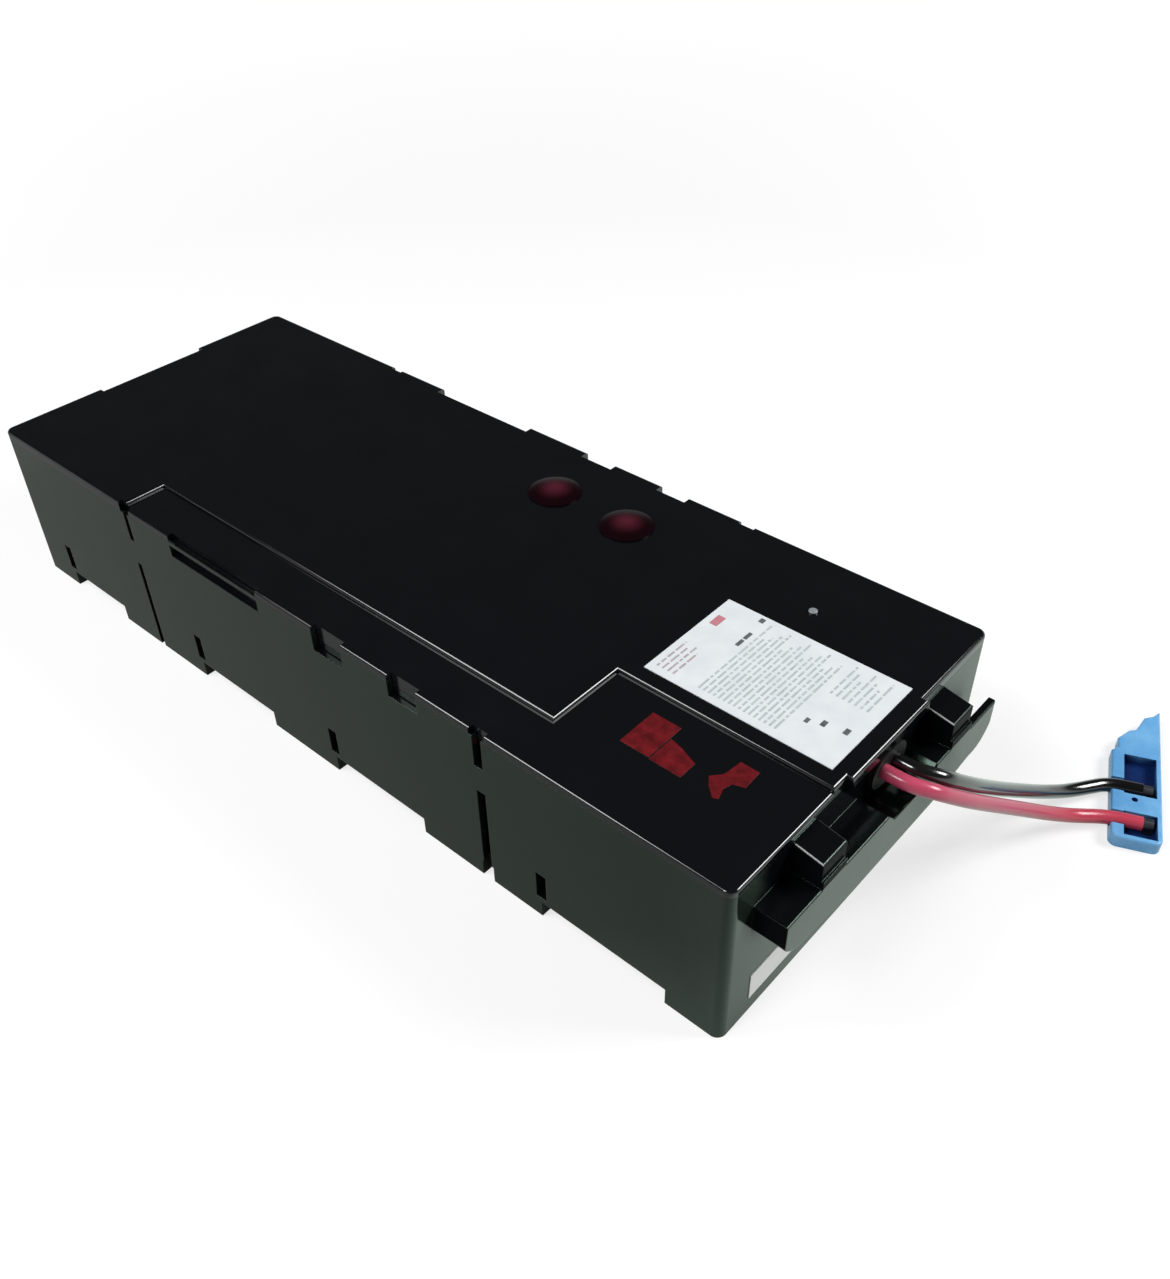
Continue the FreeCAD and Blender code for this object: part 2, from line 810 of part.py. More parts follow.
def pole_cuts(v, near_reach, far_reach):
    """Trough that a lead lies in, and the open well round its end."""
    axis = pole_axis()
    half = trough_width / 2
    trough = box(0, well_start, v - half, v + half, axis, housing_height)
    round_floor = Part.makeCylinder(half, well_start, Vector(0, v, axis), Vector(1, 0, 0))
    well = box(well_start, housing_length - well_front, v - near_reach, v + far_reach,
               well_floor, housing_height)
    return [trough, round_floor, well]


def connector_housing():
    """Flat block with a round-cornered near end and a slanted finger grip on the other."""
    outline = [(0, -housing_near), (0, housing_far)] + grip_edge
    outline += [(housing_length, grip_reach), (housing_length, -housing_near)]
    block = profile([(u, v, 0) for u, v in outline], (0, 0, housing_height))
    near_corners = [edge for edge in upright_edges(block) if edge.BoundBox.YMax < 0]
    block = block.makeFillet(housing_corner, near_corners)
    block = block.makeFillet(housing_edge, on_level(block, housing_height))
    pole = pole_offset()
    keying_hole = Part.makeCylinder(keying_hole_radius, housing_height,
                                    Vector(keying_hole_along, keying_hole_across, 0))
    cuts = pole_cuts(-pole, red_well_near, red_well_far)
    cuts += pole_cuts(pole, black_well_near, black_well_far)
    return in_plug_frame(block.cut(cuts + [keying_hole]))


def contact(v):
    """Crimp barrel on a lead's end, with a foot that stands on the floor of the well."""
    axis = pole_axis()
    end = lead_entry + contact_barrel
    barrel = Part.makeCylinder(barrel_diameter / 2, contact_barrel, Vector(lead_entry, v, axis),
                               Vector(1, 0, 0))
    foot = box(lead_entry, end, v - contact_width / 2, v + contact_width / 2,
               well_floor, well_floor + contact_thickness)
    neck = box(lead_entry, end, v - contact_neck / 2, v + contact_neck / 2, well_floor, axis)
    return in_plug_frame(joined([barrel, foot, neck]))


def build():
    nodes = {
        "base_tray": base_tray(),
        "top_cover": top_cover(),
        "red_plug_a": red_plug(plug_places()[0]),
        "red_plug_b": red_plug(plug_places()[1]),
        "top_label": top_label(),
        "end_label": end_label(),
        "cable_grommet": cable_grommet(),
        "jumper_1_2": short_jumper(blocks[0], blocks[1]),
        "jumper_2_3": long_jumper(),
        "jumper_3_4": short_jumper(blocks[2], blocks[3]),
        "red_lead_inner": red_lead_inner(),
        "black_lead_inner": black_lead_inner(),
        "red_lead": free_lead("red_lead", red_route),
        "black_lead": free_lead("black_lead", black_route),
        "connector_housing": connector_housing(),
        "contact_red": contact(-pole_offset()),
        "contact_black": contact(pole_offset()),
    }
    for number, (x, facing) in enumerate(blocks, start=1):
        nodes[f"battery_{number}"] = battery(x, facing)
        nodes[f"terminal_tabs_{number}"] = terminal_tabs(x, facing)
        nodes[f"tab_sleeves_{number}"] = tab_sleeves(x, facing)
        nodes[f"foam_pad_{number}"] = foam_pad(x)
    return nodes


os.makedirs("parts", exist_ok=True)
for node, shape in build().items():
    shape.exportStep(f"parts/{node}.step")
    print(node, "solids", len(shape.Solids), "volume", round(shape.Volume), "valid", shape.isValid())
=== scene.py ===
# Looks of the battery cartridge: glossy black case, red plugs, stickers, two leads and a blue plug.
# Metres in Blender; sizes are written in millimetres and multiplied by MM.
import math

import bmesh
import bpy
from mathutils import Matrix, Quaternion, Vector


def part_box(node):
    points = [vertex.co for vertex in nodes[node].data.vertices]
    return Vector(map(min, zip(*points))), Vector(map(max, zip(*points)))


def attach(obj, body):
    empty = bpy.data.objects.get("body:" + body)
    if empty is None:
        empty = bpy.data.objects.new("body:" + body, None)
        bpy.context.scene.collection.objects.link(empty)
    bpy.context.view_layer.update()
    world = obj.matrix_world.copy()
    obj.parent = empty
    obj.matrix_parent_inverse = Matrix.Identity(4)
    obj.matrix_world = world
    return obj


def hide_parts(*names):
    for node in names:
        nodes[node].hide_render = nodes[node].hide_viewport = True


MM = 0.001

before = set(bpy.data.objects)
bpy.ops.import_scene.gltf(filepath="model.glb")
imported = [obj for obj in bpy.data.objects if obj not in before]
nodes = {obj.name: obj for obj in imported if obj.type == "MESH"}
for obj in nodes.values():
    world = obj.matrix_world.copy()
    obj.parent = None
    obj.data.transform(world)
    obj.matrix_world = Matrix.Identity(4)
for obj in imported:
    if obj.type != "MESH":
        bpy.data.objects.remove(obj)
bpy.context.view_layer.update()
scene = bpy.context.scene
scene.view_settings.view_transform = "Standard"


# Colour and node helpers

def linear(hex_colour):
    """An sRGB hex colour as linear RGBA."""
    parts = [int(hex_colour[start:start + 2], 16) / 255 for start in (1, 3, 5)]
    return [part / 12.92 if part <= 0.04045 else ((part + 0.055) / 1.055) ** 2.4
            for part in parts] + [1.0]


def add(tree, kind, inputs=None, **settings):
    """Adds a node, sets its settings, and fills its inputs with values or links."""
    made = tree.nodes.new(kind)
    for name, value in settings.items():
        setattr(made, name, value)
    for socket, value in (inputs or {}).items():
        if isinstance(value, bpy.types.NodeSocket):
            tree.links.new(value, made.inputs[socket])
        else:
            made.inputs[socket].default_value = value
    return made


def new_material(name):
    material = bpy.data.materials.new(name)
    material.use_nodes = True
    material.node_tree.nodes.clear()
    return material, material.node_tree


def waves_per_metre(size_mm):
    """Noise scale whose features are about that many millimetres across."""
    return 1 / (size_mm * MM)


# Finishes

def edge_finder(tree, radius_mm):
    """Normal that runs round sharp edges, and how near to such an edge a place is."""
    flat_above = 0.98
    edge_below = 0.8
    rounded = add(tree, "ShaderNodeBevel", {"Radius": radius_mm * MM}, samples=6).outputs["Normal"]
    flat = add(tree, "ShaderNodeNewGeometry").outputs["Normal"]
    agree = add(tree, "ShaderNodeVectorMath", {0: rounded, 1: flat}, operation="DOT_PRODUCT")
    edge = add(tree, "ShaderNodeMapRange", {
        "Value": agree.outputs["Value"], "From Min": flat_above, "From Max": edge_below})
    return rounded, edge.outputs["Result"]


def wall_shares(tree):
    """How much a place is open outside wall, which gets a lighter tone that is partly painted
    reflection;
    how much it is shaded wall, which gets painted shade; and how much it is a slanted edge on top of
    an arm, which gets a painted highlight. Shaded walls are upright, but in a hollow, behind the
    pull bar, on an arm above it or on an end of it. Level faces are none of these."""
    hollow_reach_mm = 25
    arms_from_x_mm = 215.5
    arms_from_z_mm = 62.6
    end_wall_from_x_mm = 214.2
    shade_middle_y_mm = -10.4
    shade_half_width_mm = 60.9
    shade_fade_mm = 9.0
    # Parts of the normal: up or down, across the case, and to the side with the wiring channel
    level_above = 0.75
    upright_below = 0.35
    flat_top_above = 0.965
    rounded_below = 0.9
    end_on_above = 0.5
    highlight_from_y = -0.2
    highlight_full_y = -0.5
    highlight_elsewhere = 0.12
    # Share of open air round a place
    shut_in = 0.5
    in_the_open = 0.85
    surface = add(tree, "ShaderNodeNewGeometry").outputs
    normal = add(tree, "ShaderNodeSeparateXYZ", {"Vector": surface["Normal"]}).outputs
    place = add(tree, "ShaderNodeSeparateXYZ", {"Vector": surface["Position"]}).outputs
    level = add(tree, "ShaderNodeMath", {0: normal["Z"]}, operation="ABSOLUTE").outputs[0]
    upright = add(tree, "ShaderNodeMapRange", {
        "Value": level, "From Min": level_above, "From Max": upright_below}).outputs["Result"]
    # Painted shade in hollows: occlusion tells how open a place is
    air = add(tree, "ShaderNodeAmbientOcclusion", {"Distance": hollow_reach_mm * MM},
              samples=8, only_local=True).outputs["AO"]
    open_air = add(tree, "ShaderNodeMapRange", {
        "Value": air, "From Min": shut_in, "From Max": in_the_open}).outputs["Result"]
    # Painted shade round the pull bar, chosen by place: on it, on its arms, on its ends and on the
    # end wall behind it
    on_handle = add(tree, "ShaderNodeMath", {0: place["X"], 1: arms_from_x_mm * MM},
                    operation="GREATER_THAN").outputs[0]
    on_end_wall = add(tree, "ShaderNodeMath", {0: place["X"], 1: end_wall_from_x_mm * MM},
                      operation="GREATER_THAN").outputs[0]
    aside = add(tree, "ShaderNodeMath", {0: place["Y"], 1: shade_middle_y_mm * MM},
                operation="SUBTRACT").outputs[0]
    reach = add(tree, "ShaderNodeMath", {0: aside}, operation="ABSOLUTE").outputs[0]
    by_bar = add(tree, "ShaderNodeMapRange", {
        "Value": reach, "From Min": shade_half_width_mm * MM,
        "From Max": (shade_half_width_mm - shade_fade_mm) * MM}).outputs["Result"]
    behind_bar = add(tree, "ShaderNodeMath", {0: on_end_wall, 1: by_bar},
                     operation="MULTIPLY").outputs[0]
    at_handle = add(tree, "ShaderNodeMath", {0: on_handle, 1: behind_bar},
                    operation="MAXIMUM").outputs[0]
    above = add(tree, "ShaderNodeMath", {0: place["Z"], 1: arms_from_z_mm * MM},
                operation="GREATER_THAN").outputs[0]
    sideways = add(tree, "ShaderNodeMath", {0: normal["Y"]}, operation="ABSOLUTE").outputs[0]
    end_on = add(tree, "ShaderNodeMath", {0: sideways, 1: end_on_above},
                 operation="GREATER_THAN").outputs[0]
    above_or_end = add(tree, "ShaderNodeMath", {0: above, 1: end_on},
                       operation="MAXIMUM").outputs[0]
    in_shade = add(tree, "ShaderNodeMath", {0: at_handle, 1: above_or_end},
                   operation="MULTIPLY").outputs[0]
    in_light = add(tree, "ShaderNodeMapRange", {
        "Value": in_shade, "To Min": 1.0, "To Max": 0.0}).outputs["Result"]
    outside = add(tree, "ShaderNodeMath", {0: open_air, 1: in_light},
                  operation="MULTIPLY").outputs[0]
    wall = add(tree, "ShaderNodeMath", {0: upright, 1: outside}, operation="MULTIPLY").outputs[0]
    shaded = add(tree, "ShaderNodeMath", {0: upright, 1: wall}, operation="SUBTRACT").outputs[0]
    # Painted highlight on the slanted edges of the arm tops, strongest where they face -Y
    tilted = add(tree, "ShaderNodeMapRange", {
        "Value": level, "From Min": flat_top_above, "From Max": rounded_below}).outputs["Result"]
    slanted = add(tree, "ShaderNodeMath", {0: tilted, 1: upright}, operation="SUBTRACT").outputs[0]
    on_arm = add(tree, "ShaderNodeMath", {0: on_handle, 1: above}, operation="MULTIPLY").outputs[0]
    highlight_by_side = add(tree, "ShaderNodeMapRange", {
        "Value": normal["Y"], "From Min": highlight_from_y, "From Max": highlight_full_y,
        "To Min": highlight_elsewhere}).outputs["Result"]
    highlight_on_edges = add(tree, "ShaderNodeMath", {0: slanted, 1: highlight_by_side},
                      operation="MULTIPLY").outputs[0]
    painted_highlight = add(tree, "ShaderNodeMath", {0: highlight_on_edges, 1: on_arm},
                operation="MULTIPLY").outputs[0]
    return wall, shaded, painted_highlight


def moulded_black_abs(name, colour_deep, colour_smudged, gloss_range, ior, colour_wall_tone_and_reflection=None,
                      colour_edge=None, colour_painted_highlight=None, sheen="#ffffff"):
    """Glossy black ABS from a polished mould: near black, sharp reflections that break up a little
    where hands have been, and the faint long waves of a thin moulding. Where their colours are
    given, sharp edges are worn slightly grey; open outside walls get a greener, lighter tone that is
    partly their own and partly painted reflection, and give way to painted shade, deep black with
    almost no shine, in hollows and round the pull bar; and the arm tops get a pale painted
    highlight, strongest on the edges that face -Y."""
    smudge_mm = 28
    speck_mm = 1.2
    wave_mm = 35
    wave_depth_mm = 0.06
    wave_strength = 0.5
    clean_below = 0.1
    smudged_above = 0.4
    edge_radius_mm = 0.5
    edge_wear = 0.6
    full_shine = 0.5
    shaded_shine = 0.01
    material, tree = new_material(name)
    place = add(tree, "ShaderNodeTexCoord").outputs["Object"]
    smudge = add(tree, "ShaderNodeTexNoise", {
        "Vector": place, "Scale": waves_per_metre(smudge_mm), "Detail": 4.0,
        "Roughness": 0.6}).outputs["Fac"]
    speck = add(tree, "ShaderNodeTexNoise", {
        "Vector": place, "Scale": waves_per_metre(speck_mm), "Detail": 2.0}).outputs["Fac"]
    wave = add(tree, "ShaderNodeTexNoise", {
        "Vector": place, "Scale": waves_per_metre(wave_mm), "Detail": 1.0}).outputs["Fac"]
    colour = add(tree, "ShaderNodeMix", {
        "Factor": smudge, "A": linear(colour_deep), "B": linear(colour_smudged)},
        data_type="RGBA").outputs["Result"]
    spread = add(tree, "ShaderNodeMath", {0: smudge, 1: speck}, operation="MULTIPLY").outputs[0]
    gloss = add(tree, "ShaderNodeMapRange", {
        "Value": spread, "From Min": clean_below, "From Max": smudged_above,
        "To Min": gloss_range[0], "To Max": gloss_range[1]}).outputs["Result"]
    bump = add(tree, "ShaderNodeBump", {
        "Height": wave, "Strength": wave_strength, "Distance": wave_depth_mm * MM})
    shader = add(tree, "ShaderNodeBsdfPrincipled", {
        "Roughness": gloss, "Normal": bump.outputs["Normal"], "IOR": ior,
        "Specular Tint": linear(sheen)})
    # Painted light: open walls get a lighter tone, partly painted reflection; the arm tops a pale
    # painted highlight; painted shade keeps the deep colour and cuts the shine
    if colour_wall_tone_and_reflection:
        wall, shaded, painted_highlight = wall_shares(tree)
        for share, paint in ((wall, colour_wall_tone_and_reflection), (painted_highlight, colour_painted_highlight)):
            colour = add(tree, "ShaderNodeMix", {
                "Factor": share, "A": colour, "B": linear(paint)},
                data_type="RGBA").outputs["Result"]
        shine = add(tree, "ShaderNodeMapRange", {
            "Value": shaded, "To Min": full_shine, "To Max": shaded_shine})
        tree.links.new(shine.outputs["Result"], shader.inputs["Specular IOR Level"])
    if colour_edge:
        rounded, edge = edge_finder(tree, edge_radius_mm)
        patchy = add(tree, "ShaderNodeMath", {0: edge, 1: speck}, operation="MULTIPLY").outputs[0]
        worn = add(tree, "ShaderNodeMath", {0: patchy, 1: edge_wear},
                   operation="MULTIPLY").outputs[0]
        colour = add(tree, "ShaderNodeMix", {
            "Factor": worn, "A": colour, "B": linear(colour_edge)},
            data_type="RGBA").outputs["Result"]
        tree.links.new(rounded, bump.inputs["Normal"])
    tree.links.new(colour, shader.inputs["Base Color"])
    add(tree, "ShaderNodeOutputMaterial", {"Surface": shader.outputs[0]})
    return material


def plain_plastic(name, colour_dark, colour_light, grain_mm, roughness, grain_depth_mm,
                  mottle_mm=9, hollow=None):
    """Plastic, rubber, foam or ink in two close tones, with a grain that takes the edge off its
    shine. Real grain is too fine to show, so it is drawn coarser, at half a millimetre or more.
    Where a hollow colour is given, pits and low floors darken towards it as painted shade."""
    hollow_reach_mm = 7
    low_floor_mm = 4.0
    open_above = 0.97
    deep_below = 0.6
    darkest_at = 0.3
    lightest_at = 0.7
    gloss_on_crests = 0.8
    gloss_in_dips = 1.25
    grain_strength = 0.6
    material, tree = new_material(name)
    place = add(tree, "ShaderNodeTexCoord").outputs["Object"]
    mottle = add(tree, "ShaderNodeTexNoise", {
        "Vector": place, "Scale": waves_per_metre(mottle_mm), "Detail": 3.0}).outputs["Fac"]
    grain = add(tree, "ShaderNodeTexNoise", {
        "Vector": place, "Scale": waves_per_metre(grain_mm), "Detail": 2.0}).outputs["Fac"]
    tone = add(tree, "ShaderNodeMapRange", {
        "Value": mottle, "From Min": darkest_at, "From Max": lightest_at}).outputs["Result"]
    colour = add(tree, "ShaderNodeMix", {
        "Factor": tone, "A": linear(colour_dark), "B": linear(colour_light)},
        data_type="RGBA").outputs["Result"]
    # Painted shade: pits, found by occlusion, and upward floors below a set height darken towards
    # the hollow colour
    if hollow:
        air = add(tree, "ShaderNodeAmbientOcclusion", {"Distance": hollow_reach_mm * MM},
                  samples=8, only_local=True).outputs["AO"]
        pit = add(tree, "ShaderNodeMapRange", {
            "Value": air, "From Min": open_above, "From Max": deep_below}).outputs["Result"]
        surface = add(tree, "ShaderNodeNewGeometry").outputs
        rise = add(tree, "ShaderNodeSeparateXYZ", {"Vector": surface["Normal"]}).outputs["Z"]
        height = add(tree, "ShaderNodeSeparateXYZ", {"Vector": surface["Position"]}).outputs["Z"]
        low = add(tree, "ShaderNodeMath", {0: height, 1: low_floor_mm * MM},
                  operation="LESS_THAN").outputs[0]
        floor = add(tree, "ShaderNodeMath", {0: low, 1: rise}, operation="MULTIPLY").outputs[0]
        hollow_shade_share = add(tree, "ShaderNodeMath", {0: pit, 1: floor}, operation="MAXIMUM").outputs[0]
        colour = add(tree, "ShaderNodeMix", {
            "Factor": hollow_shade_share, "A": colour, "B": linear(hollow)}, data_type="RGBA").outputs["Result"]
    gloss = add(tree, "ShaderNodeMapRange", {
        "Value": grain, "From Min": darkest_at, "From Max": lightest_at,
        "To Min": roughness * gloss_on_crests, "To Max": roughness * gloss_in_dips})
    bump = add(tree, "ShaderNodeBump", {
        "Height": grain, "Strength": grain_strength, "Distance": grain_depth_mm * MM})
    shader = add(tree, "ShaderNodeBsdfPrincipled", {
        "Base Color": colour, "Roughness": gloss.outputs["Result"],
        "Normal": bump.outputs["Normal"], "IOR": 1.5})
    add(tree, "ShaderNodeOutputMaterial", {"Surface": shader.outputs[0]})
    return material


def extruded_insulation(name, colour, colour_by_plug, roughness, coat):
    """Smooth extruded PVC with a soft shine and no grain. Away from the plug its colour is paler,
    partly painted reflection; over the last stretch, by the plug, it deepens to its own colour."""
    deeper_from_y_mm = 55
    deepest_at_y_mm = 85
    material, tree = new_material(name)
    place = add(tree, "ShaderNodeNewGeometry").outputs["Position"]
    across = add(tree, "ShaderNodeSeparateXYZ", {"Vector": place}).outputs["Y"]
    # Painted reflection away from the plug, giving way to the lead's own deeper colour by it
    by_plug = add(tree, "ShaderNodeMapRange", {
        "Value": across, "From Min": deeper_from_y_mm * MM, "From Max": deepest_at_y_mm * MM})
    body = add(tree, "ShaderNodeMix", {
        "Factor": by_plug.outputs["Result"], "A": linear(colour), "B": linear(colour_by_plug)},
        data_type="RGBA").outputs["Result"]
    shader = add(tree, "ShaderNodeBsdfPrincipled", {
        "Base Color": body, "Roughness": roughness, "IOR": 1.5, "Coat Weight": coat,
        "Coat Roughness": 0.12})
    add(tree, "ShaderNodeOutputMaterial", {"Surface": shader.outputs[0]})
    return material


def red_button_painted_light(name, colour_highlight_middle, colour_shade_rim):
    """Smoky red polypropylene with painted light: a lighter red in the middle as a painted
    highlight, fading to near black at the rim as painted shade, so the dome shows a soft red heart
    and almost no outline."""
    middle = (0.5, 0.5, 0.5)
    level_only = (1.0, 1.0, 0.0)
    rim_radius = 0.4
    material, tree = new_material(name)
    across = add(tree, "ShaderNodeTexCoord").outputs["Generated"]
    from_middle = add(tree, "ShaderNodeVectorMath", {0: across, 1: middle},
                      operation="SUBTRACT").outputs["Vector"]
    level = add(tree, "ShaderNodeVectorMath", {0: from_middle, 1: level_only},
                operation="MULTIPLY").outputs["Vector"]
    radius = add(tree, "ShaderNodeVectorMath", {0: level}, operation="LENGTH").outputs["Value"]
    # Painted highlight in the middle, fading to painted shade at the rim
    highlight_to_shade = add(tree, "ShaderNodeMapRange", {
        "Value": radius, "From Min": 0.0, "From Max": rim_radius}, interpolation_type="SMOOTHSTEP")
    colour = add(tree, "ShaderNodeMix", {
        "Factor": highlight_to_shade.outputs["Result"], "A": linear(colour_highlight_middle), "B": linear(colour_shade_rim)},
        data_type="RGBA").outputs["Result"]
    shader = add(tree, "ShaderNodeBsdfPrincipled", {
        "Base Color": colour, "Roughness": 0.3, "Specular IOR Level": 0.03})
    add(tree, "ShaderNodeOutputMaterial", {"Surface": shader.outputs[0]})
    return material


def plated_metal(name, colour, roughness, drawn_mm):
    """Plated metal strip: its shine is broken a little by marks from rolling. Real marks are too
    fine to show, so they are drawn coarser."""
    gloss_on_crests = 0.7
    gloss_in_dips = 1.4
    material, tree = new_material(name)
    place = add(tree, "ShaderNodeTexCoord").outputs["Object"]
    marks = add(tree, "ShaderNodeTexNoise", {
        "Vector": place, "Scale": waves_per_metre(drawn_mm), "Detail": 3.0})
    gloss = add(tree, "ShaderNodeMapRange", {
        "Value": marks.outputs["Fac"], "To Min": roughness * gloss_on_crests,
        "To Max": roughness * gloss_in_dips})
    shader = add(tree, "ShaderNodeBsdfPrincipled", {
        "Base Color": linear(colour), "Metallic": 1.0, "Roughness": gloss.outputs["Result"]})
    add(tree, "ShaderNodeOutputMaterial", {"Surface": shader.outputs[0]})
    return material


# Case: the polished cover mirrors a dark ceiling. The tray's walls are greener and duller: open
# walls get a lighter tone, partly painted reflection; places round the pull bar get painted shade;
# the arm tops get a painted highlight
cover_abs = moulded_black_abs("cover_black_abs", "#08090c", "#0d0f12",
                              gloss_range=(0.06, 0.16), ior=1.65)
tray_abs = moulded_black_abs("tray_black_abs", "#07080a", "#0c0e10",
                             gloss_range=(0.1, 0.22), ior=1.42, colour_wall_tone_and_reflection="#202923",
                             colour_edge="#343d38", colour_painted_highlight="#b4bab7", sheen="#d8ffec")
# Push-in plugs: smoky red, with painted highlight and painted shade standing in for the dome's light
red_polypropylene = red_button_painted_light("smoky_red_polypropylene", "#4e1d29", "#14060a")

# Sticker film: a soft satin white; the end wall's sticker is brighter, as painted light on its
# upright face
sticker_vinyl = plain_plastic("white_sticker_vinyl", "#dde3e6", "#e6ebee",
                              grain_mm=0.6, roughness=0.38, grain_depth_mm=0.01)
end_sticker_painted_light = plain_plastic("end_sticker_vinyl_painted_light", "#f2f4f2", "#f8f9f7",
                             grain_mm=0.6, roughness=0.38, grain_depth_mm=0.01)

# Leads and plug: the black lead is the glossier one; the leads carry painted reflection away from
# the plug, the plug's wells sink to navy as painted shade, and its contacts are darkened as painted
# shade
red_pvc = extruded_insulation("red_pvc_insulation", "#c64c69", "#cb4459", roughness=0.28, coat=0.2)
black_pvc = extruded_insulation("black_pvc_insulation", "#121413", "#0d0e0e",
                                roughness=0.18, coat=1.0)
# Blue plug: its wells and low floors darken to navy as painted shade
blue_polycarbonate = plain_plastic("blue_polycarbonate", "#62a6de", "#7ab9ea",
                                   grain_mm=0.7, roughness=0.3, grain_depth_mm=0.02,
                                   hollow="#0e2960")
# Contacts: tinned copper darkened as painted shade, a shaded copy of bright tin plate
tin_plate_painted_shade = plated_metal("tinned_copper_painted_shade", "#55565c", roughness=0.42, drawn_mm=0.4)
bush_rubber = plain_plastic("black_bush_rubber", "#0b0b0b", "#121212",
                            grain_mm=0.5, roughness=0.5, grain_depth_mm=0.03)

# Inside the case: matte blocks, milky receptacles, open foam and bright tabs
battery_abs = plain_plastic("matte_battery_abs", "#1b1b1d", "#242427",
                            grain_mm=0.5, roughness=0.5, grain_depth_mm=0.03)
sleeve_nylon = plain_plastic("clear_sleeve_nylon", "#c9c8c0", "#d8d7d0",
                             grain_mm=0.5, roughness=0.4, grain_depth_mm=0.01)
pad_foam = plain_plastic("grey_pad_foam", "#2e2e30", "#434346",
                         grain_mm=1.1, roughness=0.9, grain_depth_mm=0.3, mottle_mm=1.5)
tin_plate = plated_metal("tin_plated_brass", "#b9b8b2", roughness=0.3, drawn_mm=0.4)

# Print: thin ink, mottled where it lies uneven; the pip is a pale spot on the black cover, a painted
# highlight
pip_painted_highlight = plain_plastic("pale_pip_painted_highlight", "#83888c", "#969b9f",
                          grain_mm=0.5, roughness=0.35, grain_depth_mm=0.005)
red_ink = plain_plastic("red_print_ink", "#4e0f14", "#74181e",
                        grain_mm=0.7, roughness=0.3, grain_depth_mm=0.005, mottle_mm=4)
faded_red_ink = plain_plastic("faded_red_ink", "#b8707c", "#c88790",
                              grain_mm=0.7, roughness=0.4, grain_depth_mm=0.005, mottle_mm=3)
grey_ink = plain_plastic("grey_print_ink", "#b2babd", "#c4cbce",
                         grain_mm=0.7, roughness=0.42, grain_depth_mm=0.005, mottle_mm=4)
dark_ink = plain_plastic("dark_print_ink", "#4f5457", "#6a6f72",
                         grain_mm=0.7, roughness=0.42, grain_depth_mm=0.005, mottle_mm=3)
rose_ink = plain_plastic("rose_print_ink", "#b0a4a8", "#c2b6ba",
                         grain_mm=0.7, roughness=0.42, grain_depth_mm=0.005, mottle_mm=3)

finish_of_node = {
    "base_tray": tray_abs,
    "top_cover": cover_abs,
    "red_plug_a": red_polypropylene,
    "red_plug_b": red_polypropylene,
    "top_label": sticker_vinyl,
    "end_label": end_sticker_painted_light,
    "cable_grommet": bush_rubber,
    "jumper_1_2": black_pvc,
    "jumper_2_3": black_pvc,
    "jumper_3_4": black_pvc,
    "red_lead_inner": red_pvc,
    "black_lead_inner": black_pvc,
    "red_lead": red_pvc,
    "black_lead": black_pvc,
    "connector_housing": blue_polycarbonate,
    "contact_red": tin_plate_painted_shade,
    "contact_black": tin_plate_painted_shade,
}
for number in range(1, 5):
    finish_of_node[f"battery_{number}"] = battery_abs
    finish_of_node[f"terminal_tabs_{number}"] = tin_plate
    finish_of_node[f"tab_sleeves_{number}"] = sleeve_nylon
    finish_of_node[f"foam_pad_{number}"] = pad_foam

for node, finish in finish_of_node.items():
    nodes[node].data.materials.clear()
    nodes[node].data.materials.append(finish)


# Leads

LEAD_DIAMETER = 6.0
ARC_SHARE = 0.45
ARC_STEP = math.radians(4)
RED_ROUTE = [
    (217, 5, 68), (227.5, 5, 68), (235.8, 10.2, 65.6), (241.5, 24, 54.5),
    (246, 44, 38.5), (251, 62, 25), (256.5, 77, 14), (263.5, 90, 6.5),
    (274.4, 101, 4.6), (286.9, 106.2, 4.6),
]
BLACK_ROUTE = [
    (217, 13, 68), (227, 13, 68), (234.5, 18.5, 65.5), (239, 32, 54.5),
    (242.3, 52.5, 38), (246.5, 72, 24), (251, 88, 13.5), (256.5, 102, 6.5),
    (266.9, 119, 4.6), (279.4, 124.2, 4.6),
]


def bent_points(route):
    """The route in metres, with an arc at each corner that is as large as its two runs allow."""
    corners = [Vector(place) * MM for place in route]
    points = [corners[0]]
    for before, corner, after in zip(corners, corners[1:], corners[2:]):
        arriving = corner - before
        leaving = after - corner
        setback = ARC_SHARE * min(arriving.length, leaving.length)
        begin = corner - arriving.normalized() * setback
        end = corner + leaving.normalized() * setback
        turn = arriving.angle(leaving)
        radius = setback / math.tan(turn / 2)
        inwards = (leaving.normalized() - arriving.normalized()).normalized()
        centre = corner + inwards * (radius / math.cos(turn / 2))
        first = (begin - centre).normalized()
        last = (end - centre).normalized()
        steps = math.ceil(turn / ARC_STEP)
        for step in range(steps + 1):
            points.append(centre + first.slerp(last, step / steps) * radius)
    return points + [corners[-1]]


def free_lead(node, route, finish):
    """A free lead from the bush to its contact, as a smooth round tube on its route."""
    points = bent_points(route)
    curve = bpy.data.curves.new(node + "_tube", "CURVE")
    curve.dimensions = "3D"
    curve.bevel_depth = LEAD_DIAMETER / 2 * MM
    curve.bevel_resolution = 8
    curve.use_fill_caps = True
    spline = curve.splines.new("POLY")
    spline.points.add(len(points) - 1)
    for knot, place in zip(spline.points, points):
        knot.co = list(place) + [1.0]
    spline.use_smooth = True
    lead = bpy.data.objects.new(node + "_tube", curve)
    scene.collection.objects.link(lead)
    curve.materials.append(finish)
    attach(lead, "root")
    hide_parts(node)


free_lead("red_lead", RED_ROUTE, red_pvc)
free_lead("black_lead", BLACK_ROUTE, black_pvc)


# Print: plain bars and blocks a hair thick, on the stickers and on the cover

INK_THICKNESS = 0.06


